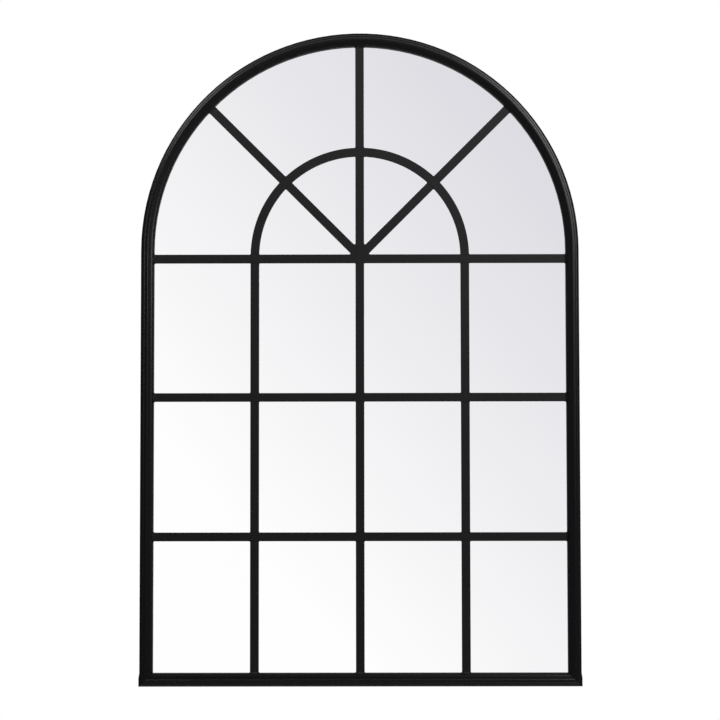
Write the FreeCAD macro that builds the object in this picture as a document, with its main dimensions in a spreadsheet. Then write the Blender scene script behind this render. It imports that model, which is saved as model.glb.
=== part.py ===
"""Arched window mirror: moulded steel frame, lattice of flat bars, mirror pane and back hardware.

The frame's outline is a rectangle under a half circle. Every piece is drawn with x across the mirror,
z up from the underside of the bottom rail, and y = 0 on the flat back of the frame, with the front
towards -y. The placements then move the origin to the wall plane, midway between the two hanging rings.
"""
import FreeCAD, Part
import math
import os

import Sketcher

# Driving dimensions in millimetres, with angles in degrees
DIMENSIONS = {
    # Outline of the frame
    "overall_width": 812.0,
    "spring_height": 804.0,
    # Section of the frame tube
    "back_width": 18.0,
    "tube_wall": 1.5,
    "back_corner_radius": 1.5,
    "lip_depth": 5.5,
    # Facets of the frame's face, each from its outer or inner edge up towards the crest
    "inner_shoulder_width": 3.0,
    "inner_shoulder_fall": 3.6,
    "inner_bevel_width": 3.0,
    "inner_bevel_fall": 1.1,
    "cove_width": 4.5,
    "cove_fall": 0.95,
    "drop_width": 1.5,
    "drop_fall": 0.85,
    "outer_shoulder_width": 3.0,
    "outer_shoulder_fall": 3.1,
    "outer_bevel_width": 2.9,
    "outer_bevel_fall": 0.95,
    "groove_width": 1.5,
    "groove_fall": 0.5,
    "step_width": 1.6,
    "step_fall": 0.47,
    "rib_width": 3.0,
    "rib_fall": 0.2,
    "bevel_rise": 0.1,
    # Plates over the lower mitres
    "corner_plate_thickness": 1.5,
    "corner_plate_straight": 16.0,
    # Lattice of flat bars
    "bar_width": 16.0,
    "bar_thickness": 4.0,
    "bar_edge_radius": 0.6,
    "transom_drop": 15.6,
    "fan_rise": 4.6,
    "diagonal_angle": 45.0,
    "weld_gap": 0.1,
    # Mirror pane, its blocks and the backing board
    "glass_thickness": 4.0,
    "glass_gap": 2.0,
    "block_length": 50.0,
    "board_thickness": 3.0,
    "board_gap": 1.5,
    "board_recess": 5.0,
    # Retaining clips
    "clip_width": 16.0,
    "clip_thickness": 1.0,
    "clip_foot": 14.0,
    "clip_toe": 13.0,
    "clip_clearance": 0.5,
    "clip_bend_radius": 0.8,
    "clip_corner_radius": 3.0,
    # Pan-head screws
    "screw_radius": 1.75,
    "screw_length": 9.0,
    "screw_tip": 2.5,
    "screw_head_radius": 3.4,
    "screw_head_height": 2.2,
    "screw_head_edge": 0.7,
    "screw_recess_length": 3.6,
    "screw_recess_width": 0.9,
    "screw_recess_depth": 1.2,
    "screw_clearance": 0.1,
    # Rubber wall bumpers
    "bumper_base_radius": 7.0,
    "bumper_tip_radius": 6.0,
    "bumper_edge_radius": 1.0,
    "bumper_inset": 60.0,
    # Hanger straps and rings
    "hang_drop": 34.0,
    "strap_thickness": 1.2,
    "strap_corner_radius": 3.0,
    "strap_screw_inset": 6.5,
    "strap_screw_spacing": 12.0,
    "eye_clearance": 0.08,
    "eye_side_gap": 0.25,
    "eye_lift": 0.4,
    "ring_screw_gap": 6.0,
    "wall_clearance": 0.54,
    "ring_wire_radius": 1.25,
    "ring_inner_width": 12.0,
    "ring_corner_radius": 2.5,
    "ring_reach": 17.0,
    # How far a cutter runs past what it cuts
    "overrun": 1.0,
}

# Places given as shares of the size that they follow
BLOCK_PLACE_SHARE = 0.25
RAIL_CLIP_SHARE = 0.25
LEG_CLIP_SHARES = (0.22, 0.62)

# Places round the arch, in degrees from its right end
ARCH_CLIP_ANGLES = (38.0, 90.0, 142.0)
ARCH_BUMPER_ANGLES = (62.0, 118.0)
RIGHT_ANGLE = 0.0
LEFT_ANGLE = 180.0
DOWN_ANGLE = 270.0
QUARTER_TURN = 90.0
HALF_TURN = 180.0
FULL_TURN = 360.0

# The two sides of the mirror, and the three columns of bars
SIDES = {"left": -1, "right": 1}
COLUMNS = {"left": -1, "centre": 0, "right": 1}
ROWS = ("upper", "middle", "lower")

# The facets of the frame's face, from each edge to the crest
INNER_FACETS = ("inner_shoulder", "inner_bevel", "cove", "drop")
OUTER_FACETS = ("outer_shoulder", "outer_bevel", "groove", "step", "rib")
FALLING_FACETS = ("groove",)

doc = FreeCAD.newDocument("window_mirror")


class Size:
    """A length with its present value and the sheet expression that drives it."""

    def __init__(self, value, text):
        self.value = value
        self.text = text

    @staticmethod
    def of(item):
        return item if isinstance(item, Size) else Size(float(item), repr(item))

    def joined(self, other, sign, value):
        return Size(value, "(%s %s %s)" % (self.text, sign, other.text))

    def __add__(self, other):
        other = Size.of(other)
        return self.joined(other, "+", self.value + other.value)

    def __sub__(self, other):
        other = Size.of(other)
        return self.joined(other, "-", self.value - other.value)

    def __mul__(self, other):
        other = Size.of(other)
        return self.joined(other, "*", self.value * other.value)

    def __truediv__(self, other):
        other = Size.of(other)
        return self.joined(other, "/", self.value / other.value)

    def __neg__(self):
        return Size(-self.value, "(-1 * %s)" % self.text)

    def root(self):
        return Size(math.sqrt(self.value), "sqrt(%s)" % self.text)


ZERO = Size(0.0, "0")


def cosine(degrees):
    angle = Size.of(degrees)
    return Size(math.cos(math.radians(angle.value)), "cos(%s)" % angle.text)


def sine(degrees):
    angle = Size.of(degrees)
    return Size(math.sin(math.radians(angle.value)), "sin(%s)" % angle.text)


def make_sheet():
    sheet = doc.addObject("Spreadsheet::Sheet", "Sizes")
    for row, (alias, value) in enumerate(DIMENSIONS.items(), start=1):
        sheet.set("A%d" % row, alias)
        sheet.set("B%d" % row, str(value))
        sheet.setAlias("B%d" % row, alias)
    doc.recompute()
    return sheet


def size(alias):
    return Size(float(sheet.get(alias)), "Sizes." + alias)


def facet_width(name):
    return size(name + "_width")


def facet_climb(name):
    """How far a facet climbs towards the front on its way to the crest."""
    return size(name + "_fall") * (-1 if name in FALLING_FACETS else 1)


def facet_total(names, measure):
    """Sum of one measure of the facets, their width or their climb."""
    total = measure(names[0])
    for name in names[1:]:
        total = total + measure(name)
    return total


sheet = make_sheet()

# Sizes that follow from the driving dimensions
half_width = size("overall_width") / 2
face = facet_total(INNER_FACETS + OUTER_FACETS, facet_width)
back = size("back_width")
overrun = size("overrun")
spring = size("spring_height")
rebate_depth = size("glass_thickness") + size("board_thickness") + size("board_recess")
inner_foot = rebate_depth + size("lip_depth")
frame_depth = inner_foot + facet_total(INNER_FACETS, facet_climb)
outer_foot = frame_depth - facet_total(OUTER_FACETS, facet_climb)
inner_half_width = half_width - face
back_half_width = half_width - back
bar = size("bar_width")
half_bar = bar / 2
bay_width = (size("overall_width") - face * 2 - bar * 3) / 4
column_pitch = bay_width + bar
upper_transom = spring - size("transom_drop")
row_height = (upper_transom - half_bar - face - bar * 2) / 3
row_pitch = row_height + bar
fan_height = upper_transom + size("fan_rise")
fan_inner_radius = column_pitch - half_bar
fan_outer_radius = column_pitch + half_bar
ring_height = spring - size("hang_drop")
board_back = -size("board_recess")
glass_back = board_back - size("board_thickness")
glass_front = -rebate_depth
screw_hole_radius = size("screw_radius") + size("screw_clearance")
clip_screw_inset = size("clip_foot") / 2
half_ring = size("ring_inner_width") / 2 + size("ring_wire_radius")
half_strap = half_ring - size("ring_corner_radius") - size("eye_side_gap")
ring_bottom = size("ring_reach") + size("ring_wire_radius")
upper_screw_drop = ring_bottom + size("ring_screw_gap") + size("screw_head_radius")
strap_screw_drops = (upper_screw_drop, upper_screw_drop + size("strap_screw_spacing"))
strap_length = strap_screw_drops[1] + size("strap_screw_inset")
eye_inner_radius = size("ring_wire_radius") + size("eye_clearance")
eye_outer_radius = eye_inner_radius + size("strap_thickness")
eye_centre = size("eye_lift") + eye_outer_radius
bumper_height = eye_centre + eye_outer_radius + size("wall_clearance")
frame_back = -bumper_height
leg_middle = half_width - back / 2

parts = []


def bind(feature, path, length):
    feature.setExpression(path, length.text)


def place(feature, x=ZERO, y=ZERO, z=ZERO, turn=0.0):
    """Stand a finished piece at (x, y, z) in the drawing frame, turned about y by an angle in degrees."""
    rotation = FreeCAD.Rotation(FreeCAD.Vector(0, 1, 0), turn)
    spots = {"x": x, "y": y + frame_back, "z": z - ring_height}
    base = FreeCAD.Vector(spots["x"].value, spots["y"].value, spots["z"].value)
    feature.Placement = FreeCAD.Placement(base, rotation)
    for axis, length in spots.items():
        bind(feature, "Placement.Base." + axis, length)


def keep(feature, label):
    """List a finished piece under the name of its file."""
    feature.Label = label
    parts.append(feature)


def new_body(label):
    body = doc.addObject("PartDesign::Body", label)
    body.Label = label
    return body


def origin_plane(body, role):
    return next(feature for feature in body.Origin.OriginFeatures if feature.Role == role)


def new_sketch(body, name, role, offset=ZERO):
    """Add a sketch on one of the body's origin planes, moved along the plane's normal by an offset."""
    sketch = body.newObject("Sketcher::SketchObject", name)
    sketch.AttachmentSupport = [(origin_plane(body, role), "")]
    sketch.MapMode = "FlatFace"
    sketch.AttachmentOffset = FreeCAD.Placement(FreeCAD.Vector(0, 0, offset.value), FreeCAD.Rotation())
    if offset is not ZERO:
        bind(sketch, "AttachmentOffset.Base.z", offset)
    return sketch


class Corner:
    """A corner of an outline, and the arc, if any, that leads to the next corner.

    The arc is under a half circle. It turns left when bend is 1 and right when bend is -1.
    """

    def __init__(self, x, y, radius=None, bend=1):
        self.x = x
        self.y = y
        self.radius = radius
        self.bend = bend

    def point(self):
        return FreeCAD.Vector(self.x.value, self.y.value, 0)


def arc_between(start, end, radius, bend):
    chord = end - start
    middle = (start + end) / 2
    rise = math.sqrt(max(radius * radius - (chord.Length / 2) ** 2, 0.0))
    normal = FreeCAD.Vector(-chord.y, chord.x, 0).normalize() * bend
    centre = middle + normal * rise
    first, last = (start, end) if bend > 0 else (end, start)
    angles = [math.atan2(spot.y - centre.y, spot.x - centre.x) for spot in (first, last)]
    circle = Part.Circle(centre, FreeCAD.Vector(0, 0, 1), radius)
    return Part.ArcOfCircle(circle, angles[0], angles[1])


def pin_coordinate(sketch, name, axis, geometry, end, length):
    """Fix one coordinate of a point at a length from the sketch's origin."""
    if length.value == 0:
        sketch.addConstraint(Sketcher.Constraint("PointOnObject", geometry, end, axis))
        return
    if length.value > 0:
        index = sketch.addConstraint(Sketcher.Constraint(name, -1, 1, geometry, end, length.value))
        bind(sketch, "Constraints[%d]" % index, length)
    else:
        index = sketch.addConstraint(Sketcher.Constraint(name, geometry, end, -1, 1, -length.value))
        bind(sketch, "Constraints[%d]" % index, -length)


def draw_outline(sketch, corners):
    """Draw a closed outline whose corners and radii follow the sheet."""
    count = len(corners)
    starts, ends, edges = [], [], []
    for index, corner in enumerate(corners):
        start, end = corner.point(), corners[(index + 1) % count].point()
        if corner.radius is None:
            edges.append(sketch.addGeometry(Part.LineSegment(start, end)))
        else:
            edges.append(sketch.addGeometry(arc_between(start, end, corner.radius.value, corner.bend)))
        forward = corner.radius is None or corner.bend > 0
        starts.append(1 if forward else 2)
        ends.append(2 if forward else 1)
    for index in range(count):
        after = (index + 1) % count
        sketch.addConstraint(
            Sketcher.Constraint("Coincident", edges[index], ends[index], edges[after], starts[after])
        )
    for index, corner in enumerate(corners):
        pin_coordinate(sketch, "DistanceX", -2, edges[index], starts[index], corner.x)
        pin_coordinate(sketch, "DistanceY", -1, edges[index], starts[index], corner.y)
        if corner.radius is not None:
            constraint = Sketcher.Constraint("Radius", edges[index], corner.radius.value)
            bind(sketch, "Constraints[%d]" % sketch.addConstraint(constraint), corner.radius)


def draw_circle(sketch, x, y, radius):
    circle = Part.Circle(FreeCAD.Vector(x.value, y.value, 0), FreeCAD.Vector(0, 0, 1), radius.value)
    edge = sketch.addGeometry(circle)
    pin_coordinate(sketch, "DistanceX", -2, edge, 3, x)
    pin_coordinate(sketch, "DistanceY", -1, edge, 3, y)
    constraint = Sketcher.Constraint("Radius", edge, radius.value)
    bind(sketch, "Constraints[%d]" % sketch.addConstraint(constraint), radius)


def pad(body, sketch, name, length, reverse=False, both_ways=False):
    feature = body.newObject("PartDesign::Pad", name)
    feature.Profile = sketch
    feature.Reversed = reverse
    feature.Midplane = both_ways
    bind(feature, "Length", length)
    doc.recompute()
    return feature


def pocket(body, sketch, name, depth, reverse=False):
    """Cut a sketch into the body, and make sure that it took something away."""
    before = body.Shape.Volume
    feature = body.newObject("PartDesign::Pocket", name)
    feature.Profile = sketch
    feature.Reversed = reverse
    bind(feature, "Length", depth)
    doc.recompute()
    if not body.Shape.Volume < before:
        raise RuntimeError("%s in %s cuts nothing" % (name, body.Label))
    return feature


def revolve(body, sketch, name, degrees):
    feature = body.newObject("PartDesign::Revolution", name)
    feature.Profile = sketch
    feature.ReferenceAxis = (sketch, ["V_Axis"])
    feature.Angle = degrees
    doc.recompute()
    return feature


def mirror_across(body, original, name):
    feature = body.newObject("PartDesign::Mirrored", name)
    feature.Originals = [original]
    feature.MirrorPlane = (origin_plane(body, "YZ_Plane"), [""])
    body.Tip = feature
    doc.recompute()
    return feature


def round_edges(body, base, name, radius, wanted):
    """Fillet the edges of a feature for which wanted is true."""
    names = ["Edge%d" % number for number, edge in enumerate(base.Shape.Edges, start=1) if wanted(edge)]
    feature = body.newObject("PartDesign::Fillet", name)
    feature.Base = (base, names)
    bind(feature, "Radius", radius)
    doc.recompute()
    return feature


# Frame


def arc_radius(across, climb, rise):
    """Radius of an arc from its chord's two legs and how far it rises over the chord."""
    return ((across * across + climb * climb) / 4 + rise * rise) / (rise * 2)


def facet_radius(name):
    """Radius of a facet that is rounded: the bevels bulge, and the rib runs out level at the crest."""
    if name.endswith("bevel"):
        return arc_radius(facet_width(name), facet_climb(name), size("bevel_rise"))
    if name == "rib":
        return arc_radius(facet_width(name) * 2, ZERO, facet_climb(name))
    return None


def facet_corners(names, foot):
    """Corners of one side of the face from its edge to the crest: (distance from that edge, height)."""
    across, height = ZERO, foot
    corners = [(across, height)]
    for name in names:
        across = across + facet_width(name)
        height = height + facet_climb(name)
        corners.append((across, height))
    return corners


def section_outline(at):
    """Corners of the tube's outside: flat back, rebate, and a face of facets that climb to a crest.

    at turns (distance in from the outer edge, distance forward from the back) into sketch coordinates.
    """
    corner = size("back_corner_radius")
    outline = [
        at(corner, ZERO),
        at(back - corner, ZERO, corner),
        at(back, corner),
        at(back, rebate_depth),
        at(face, rebate_depth),
    ]
    for name, (across, height) in zip(INNER_FACETS, facet_corners(INNER_FACETS, inner_foot)):
        outline.append(at(face - across, height, facet_radius(name)))
    outer = facet_corners(OUTER_FACETS, outer_foot)
    for name, (across, height) in zip(reversed(OUTER_FACETS), reversed(outer)):
        outline.append(at(across, height, facet_radius(name)))
    return outline + [at(ZERO, outer_foot), at(ZERO, corner, corner)]


def section_hollow(at):
    """Corners of the tube's hollow, about one wall inside the outside."""
    wall = size("tube_wall")
    shift = wall / 2
    outline = [
        at(wall, wall),
        at(back - wall, wall),
        at(back - wall, rebate_depth + wall),
        at(face - wall, rebate_depth + wall),
        at(face - wall, inner_foot - wall / 3),
    ]
    for across, height in facet_corners(INNER_FACETS, inner_foot)[1:-1]:
        outline.append(at(face - across - shift, height - wall))
    for across, height in reversed(facet_corners(OUTER_FACETS, outer_foot)[1:-1]):
        outline.append(at(across + shift, height - wall))
    return outline + [at(wall, outer_foot - wall / 3)]


def draw_section(sketch, at):
    draw_outline(sketch, section_outline(at))
    draw_outline(sketch, section_hollow(at))


def clip_places():
    """Foot points of the clips on the inner edge of the frame's back, each with its outward angle."""
    places = {}
    for name, side in SIDES.items():
        angle = LEFT_ANGLE if side < 0 else RIGHT_ANGLE
        for level, share in zip(("lower", "upper"), LEG_CLIP_SHARES):
            places["clip_leg_%s_%s" % (name, level)] = (back_half_width * side, spring * share, angle)
        quarter = size("overall_width") * RAIL_CLIP_SHARE
        places["clip_rail_%s" % name] = (quarter * side, back, DOWN_ANGLE)
    for name, angle in zip(("right", "crown", "left"), ARCH_CLIP_ANGLES):
        x = back_half_width * cosine(angle)
        places["clip_arch_%s" % name] = (x, spring + back_half_width * sine(angle), angle)
    return places


def clip_screw_places():
    """Centres of the clip screws, a step outward from each clip's foot point."""
    places = {}
    for label, (x, z, angle) in clip_places().items():
        outward_x = clip_screw_inset * cosine(angle)
        outward_z = clip_screw_inset * sine(angle)
        places[label] = (x + outward_x, z + outward_z)
    return places


def strap_screw_places():
    """Centres of the strap screws, on the middle line of each leg's back."""
    levels = [ring_height - drop for drop in strap_screw_drops]
    return [(leg_middle * side, level) for side in SIDES.values() for level in levels]


def drill_pilot_holes(body, places):
    sketch = new_sketch(body, "pilot_holes", "XZ_Plane")
    for x, z in places:
        draw_circle(sketch, x, z, screw_hole_radius)
    pocket(body, sketch, "drilled", size("tube_wall") + overrun, reverse=True)


def mitre_corners(side, keeps_leg):
    """Triangle that trims a lower corner along the mitre, below it on a leg and above it on the rail."""
    outer = half_width + overrun
    inner = inner_half_width - overrun
    low, high = -overrun, face + overrun
    spare = Corner(inner * side, low) if keeps_leg else Corner(outer * side, high)
    return [Corner(outer * side, low), Corner(inner * side, high), spare]


def cut_mitres(body, keeps_leg):
    sketch = new_sketch(body, "mitres", "XZ_Plane")
    for side in SIDES.values():
        draw_outline(sketch, mitre_corners(side, keeps_leg))
    pocket(body, sketch, "mitred", frame_depth + overrun, reverse=True)


def make_frame_arch():
    body = new_body("frame_arch")
    sketch = new_sketch(body, "section", "XY_Plane", spring)

    def at(inward, forward, radius=None):
        return Corner(inward - half_width, -forward, radius, -1)

    draw_section(sketch, at)
    revolve(body, sketch, "arch", HALF_TURN)
    leg = pad(body, sketch, "leg", spring, reverse=True)
    mirror_across(body, leg, "other_leg")
    cut_mitres(body, keeps_leg=True)
    screws = [spot for label, spot in clip_screw_places().items() if "rail" not in label]
    drill_pilot_holes(body, screws + strap_screw_places())
    place(body)
    keep(body, "frame_arch")


def make_frame_bottom_rail():
    body = new_body("frame_bottom_rail")
    sketch = new_sketch(body, "section", "YZ_Plane")

    def at(inward, forward, radius=None):
        return Corner(-forward, inward, radius, 1)

    draw_section(sketch, at)
    pad(body, sketch, "rail", size("overall_width"), both_ways=True)
    cut_mitres(body, keeps_leg=False)
    drill_pilot_holes(body, [spot for label, spot in clip_screw_places().items() if "rail" in label])
    place(body)
    keep(body, "frame_bottom_rail")


def make_corner_plates():
    """Thin plate over each mitre, straight at the foot and tapered to the leg above."""
    thickness = size("corner_plate_thickness")
    back_flat = size("back_corner_radius")
    for name, side in SIDES.items():
        body = new_body("corner_plate_" + name)
        sketch = new_sketch(body, "plate", "XZ_Plane")
        proud = (half_width + thickness) * side
        flush = half_width * side
        straight = size("corner_plate_straight")
        draw_outline(
            sketch,
            [Corner(flush, ZERO), Corner(proud, ZERO), Corner(proud, straight), Corner(flush, face)],
        )
        pad(body, sketch, "thick", outer_foot - back_flat)
        place(body, y=-back_flat)
        keep(body, "corner_plate_" + name)


# Lattice


def lattice_bar(label, corners, sides):
    """Flat bar from its plan outline; sides are the numbers of the corners whose edges are rounded."""
    body = new_body(label)
    sketch = new_sketch(body, "plan", "XZ_Plane")
    draw_outline(sketch, corners)
    stock = pad(body, sketch, "stock", size("bar_thickness"))
    front = size("bar_thickness").value
    spots = []
    for number in sides:
        start, end = corners[number].point(), corners[(number + 1) % len(corners)].point()
        middle = (start + end) / 2
        spots.append(FreeCAD.Vector(middle.x, -front, middle.y))

    def wanted(edge):
        centre = (edge.Vertexes[0].Point + edge.Vertexes[-1].Point) / 2
        return any(centre.distanceToPoint(spot) < size("bar_edge_radius").value for spot in spots)

    round_edges(body, stock, "eased", size("bar_edge_radius"), wanted)
    place(body, y=glass_front)
    keep(body, label)


def rectangle(left, right, low, high):
    return [Corner(left, low), Corner(right, low), Corner(right, high), Corner(left, high)]


def make_transoms():
    for row, name in enumerate(ROWS):
        middle = upper_transom - row_pitch * row
        outline = rectangle(-inner_half_width, inner_half_width, middle - half_bar, middle + half_bar)
        lattice_bar("transom_" + name, outline, (0, 2))


def make_uprights():
    for row, row_name in enumerate(ROWS):
        top = upper_transom - half_bar - row_pitch * row
        for column_name, column in COLUMNS.items():
            middle = column_pitch * column
            outline = rectangle(middle - half_bar, middle + half_bar, top - row_height, top)
            lattice_bar("upright_%s_%s" % (column_name, row_name), outline, (1, 3))


def make_fan_arch():
    """Half ring on the upper transom: a turned bar section, cut off level with the transom's top edge."""
    body = new_body("fan_arch")
    sketch = new_sketch(body, "bar_section", "XY_Plane", fan_height)
    edge = size("bar_edge_radius")
    front = size("bar_thickness")
    outline = [
        Corner(-fan_outer_radius, ZERO),
        Corner(-fan_inner_radius, ZERO),
        Corner(-fan_inner_radius, edge - front, edge, -1),
        Corner(-fan_inner_radius - edge, -front),
        Corner(edge - fan_outer_radius, -front, edge, -1),
        Corner(-fan_outer_radius, edge - front),
    ]
    draw_outline(sketch, outline)
    revolve(body, sketch, "half_ring", HALF_TURN)
    foot = new_sketch(body, "foot_cut", "XZ_Plane")
    reach = fan_outer_radius + overrun
    draw_outline(foot, rectangle(-reach, reach, fan_height - overrun, upper_transom + half_bar))
    pocket(body, foot, "level_feet", front + overrun, reverse=True)
    place(body, y=glass_front)
    keep(body, "fan_arch")


def along_bar(side, angle, along, across):
    """Point on a radial bar: a distance along it from the hub and a distance across it, to its left."""
    x = along * cosine(angle) - across * sine(angle)
    z = along * sine(angle) + across * cosine(angle)
    return x * side, fan_height + z


def reach_on_fan(radius, across):
    return (radius * radius - across * across).root()


def reach_on_frame(angle, across):
    """Distance along a radial bar to the frame's inside, whose centre stands above the hub."""
    lift = spring - fan_height
    radius = inner_half_width - size("weld_gap")
    offset = across - lift * cosine(angle)
    return lift * sine(angle) + (radius * radius - offset * offset).root()


def make_inner_radials():
    angle = size("diagonal_angle")
    radius = fan_inner_radius - size("weld_gap")
    transom_top = upper_transom + half_bar
    shoulder = fan_height + reach_on_fan(radius, half_bar)
    centre = [
        Corner(-half_bar, transom_top),
        Corner(half_bar, transom_top),
        Corner(half_bar, shoulder, radius, 1),
        Corner(-half_bar, shoulder),
    ]
    lattice_bar("radial_inner_centre", centre, (1, 3))
    reach = reach_on_fan(radius, half_bar)
    foot = transom_top - fan_height
    for name, side in SIDES.items():
        lower_x = (foot * cosine(angle) + half_bar) / sine(angle)
        upper_z = (half_bar * sine(angle) + half_bar) / cosine(angle)
        diagonal = [
            Corner(half_bar * side, transom_top),
            Corner(lower_x * side, transom_top),
            Corner(*along_bar(side, angle, reach, -half_bar), radius, side),
            Corner(*along_bar(side, angle, reach, half_bar)),
            Corner(half_bar * side, fan_height + upper_z),
        ]
        lattice_bar("radial_inner_" + name, diagonal, (1, 3))


def make_outer_radials():
    frame_radius = inner_half_width - size("weld_gap")
    fan_radius = fan_outer_radius + size("weld_gap")
    low = reach_on_fan(fan_radius, half_bar)
    for name, column in COLUMNS.items():
        side = column if column else 1
        angle = size("diagonal_angle") if column else Size.of(QUARTER_TURN)
        right_reach = reach_on_frame(angle, -half_bar)
        left_reach = reach_on_frame(angle, half_bar)
        bar_outline = [
            Corner(*along_bar(side, angle, low, -half_bar)),
            Corner(*along_bar(side, angle, right_reach, -half_bar), frame_radius, side),
            Corner(*along_bar(side, angle, left_reach, half_bar)),
            Corner(*along_bar(side, angle, low, half_bar), fan_radius, -side),
        ]
        lattice_bar("radial_outer_" + name, bar_outline, (0, 2))


# Mirror pane and backing


def arched_sheet(label, gap, thickness, back_face):
    """Sheet in the rebate, a gap smaller than it all round."""
    body = new_body(label)
    sketch = new_sketch(body, "arched", "XZ_Plane")
    reach = back_half_width - gap
    foot = back + gap
    outline = [
        Corner(-reach, foot),
        Corner(reach, foot),
        Corner(reach, spring, reach, 1),
        Corner(ZERO, spring + reach, reach, 1),
        Corner(-reach, spring),
    ]
    draw_outline(sketch, outline)
    pad(body, sketch, "sheet", thickness)
    place(body, y=back_face)
    keep(body, label)


def make_setting_blocks():
    for name, side in SIDES.items():
        block = doc.addObject("Part::Box", "setting_block_" + name)
        bind(block, "Length", size("block_length"))
        bind(block, "Width", size("glass_thickness"))
        bind(block, "Height", size("glass_gap"))
        middle = size("overall_width") * BLOCK_PLACE_SHARE * side
        place(block, middle - size("block_length") / 2, glass_front, back)
        keep(block, "setting_block_" + name)


# Back hardware


def make_clip(label, x, z, angle):
    """Bent clip: a foot on the frame's back, a step down into the rebate and a toe on the board."""
    thickness = size("clip_thickness")
    bend = size("clip_bend_radius")
    outer_bend = bend + thickness
    riser = size("clip_clearance")
    toe_end = riser + size("clip_toe")
    body = new_body(label)
    sketch = new_sketch(body, "bent_strip", "XY_Plane")
    outline = [
        Corner(-size("clip_foot"), ZERO),
        Corner(riser - bend, ZERO, bend, -1),
        Corner(riser, -bend),
        Corner(riser, board_back + outer_bend, outer_bend, 1),
        Corner(riser + outer_bend, board_back),
        Corner(toe_end, board_back),
        Corner(toe_end, board_back + thickness),
        Corner(riser + outer_bend, board_back + thickness, bend, -1),
        Corner(riser + thickness, board_back + outer_bend),
        Corner(riser + thickness, -bend, outer_bend, 1),
        Corner(riser - bend, thickness),
        Corner(-size("clip_foot"), thickness),
    ]
    draw_outline(sketch, outline)
    strip = pad(body, sketch, "strip", size("clip_width"), both_ways=True)

    ends = (-size("clip_foot").value, toe_end.value)

    def wanted(edge):
        first, last = edge.Vertexes[0].Point, edge.Vertexes[-1].Point
        through = math.isclose(first.x, last.x) and math.isclose(first.z, last.z)
        return through and any(math.isclose(first.x, end) for end in ends)

    round_edges(body, strip, "corners", size("clip_corner_radius"), wanted)
    hole = new_sketch(body, "screw_hole", "XZ_Plane")
    draw_circle(hole, -clip_screw_inset, ZERO, screw_hole_radius)
    pocket(body, hole, "drilled", thickness + overrun)
    place(body, x, ZERO, z, HALF_TURN - angle)
    keep(body, label)


def make_clips():
    for label, (x, z, angle) in clip_places().items():
        make_clip(label, x, z, angle)


def make_screw_master():
    """Pan-head screw with a cross recess, its head's seat at y = 0 and its point towards -y."""
    body = new_body("screw_master")
    sketch = new_sketch(body, "half_section", "XY_Plane")
    radius = size("screw_radius")
    head = size("screw_head_radius")
    edge = size("screw_head_edge")
    height = size("screw_head_height")
    dome = height - edge
    dome_radius = (head * head + dome * dome) / (dome * 2)
    outline = [
        Corner(ZERO, -size("screw_length")),
        Corner(radius, size("screw_tip") - size("screw_length")),
        Corner(radius, ZERO),
        Corner(head, ZERO),
        Corner(head, edge, dome_radius, 1),
        Corner(ZERO, height),
    ]
    draw_outline(sketch, outline)
    revolve(body, sketch, "turned", FULL_TURN)
    cross = new_sketch(body, "cross", "XZ_Plane", -height)
    long = size("screw_recess_length") / 2
    short = size("screw_recess_width") / 2
    quarter = [(long, -short), (long, short), (short, short)]
    corners = []
    for turn in range(4):
        for x, y in quarter:
            spot = {0: (x, y), 1: (-y, x), 2: (-x, -y), 3: (y, -x)}[turn]
            corners.append(Corner(*spot))
    draw_outline(cross, corners)
    pocket(body, cross, "recess", size("screw_recess_depth"), reverse=True)
    return body


def screw_group(label, master, places, seat):
    """Separate copies of the screw, one at each place, with their heads seated at a depth."""
    copies = []
    for x, z in places:
        copy = master.Shape.copy()
        copy.translate(FreeCAD.Vector(x.value, seat.value, z.value))
        copies.append(copy)
    group = doc.addObject("Part::Feature", label)
    group.Shape = Part.makeCompound(copies)
    place(group)
    keep(group, label)


def make_screws():
    master = make_screw_master()
    screw_group("clip_screws", master, clip_screw_places().values(), size("clip_thickness"))
    screw_group("hanger_screws", master, strap_screw_places(), size("strap_thickness"))


def make_bumper(label, x, z):
    body = new_body(label)
    sketch = new_sketch(body, "half_section", "XY_Plane")
    tip = size("bumper_tip_radius")
    height = bumper_height
    edge = size("bumper_edge_radius")
    outline = [
        Corner(ZERO, ZERO),
        Corner(size("bumper_base_radius"), ZERO),
        Corner(tip, height - edge, edge, 1),
        Corner(tip - edge, height),
        Corner(ZERO, height),
    ]
    draw_outline(sketch, outline)
    revolve(body, sketch, "turned", FULL_TURN)
    place(body, x, ZERO, z)
    keep(body, label)


def make_bumpers():
    for name, side in SIDES.items():
        make_bumper("wall_bumper_lower_" + name, leg_middle * side, size("bumper_inset"))
    for name, angle in zip(("right", "left"), ARCH_BUMPER_ANGLES):
        height = spring + leg_middle * sine(angle)
        make_bumper("wall_bumper_upper_" + name, leg_middle * cosine(angle), height)


def make_hanger_strap(label, side):
    """Screwed strap under a rolled eye; drawn from the eye's height down."""
    body = new_body(label)
    length = strap_length
    corner = size("strap_corner_radius")
    flat = new_sketch(body, "flat", "XZ_Plane")
    outline = [
        Corner(half_strap, ZERO),
        Corner(-half_strap, ZERO),
        Corner(-half_strap, corner - length, corner, 1),
        Corner(corner - half_strap, -length),
        Corner(half_strap - corner, -length, corner, 1),
        Corner(half_strap, corner - length),
    ]
    draw_outline(flat, outline)
    pad(body, flat, "strip", size("strap_thickness"), reverse=True)
    eye = new_sketch(body, "eye", "YZ_Plane")
    draw_circle(eye, eye_centre, ZERO, eye_outer_radius)
    draw_circle(eye, eye_centre, ZERO, eye_inner_radius)
    pad(body, eye, "rolled_eye", half_strap * 2, both_ways=True)
    holes = new_sketch(body, "screw_holes", "XZ_Plane")
    for drop in strap_screw_drops:
        draw_circle(holes, ZERO, -drop, screw_hole_radius)
    pocket(body, holes, "drilled", size("strap_thickness") + overrun)
    place(body, leg_middle * side, ZERO, ring_height)
    keep(body, label)


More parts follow.
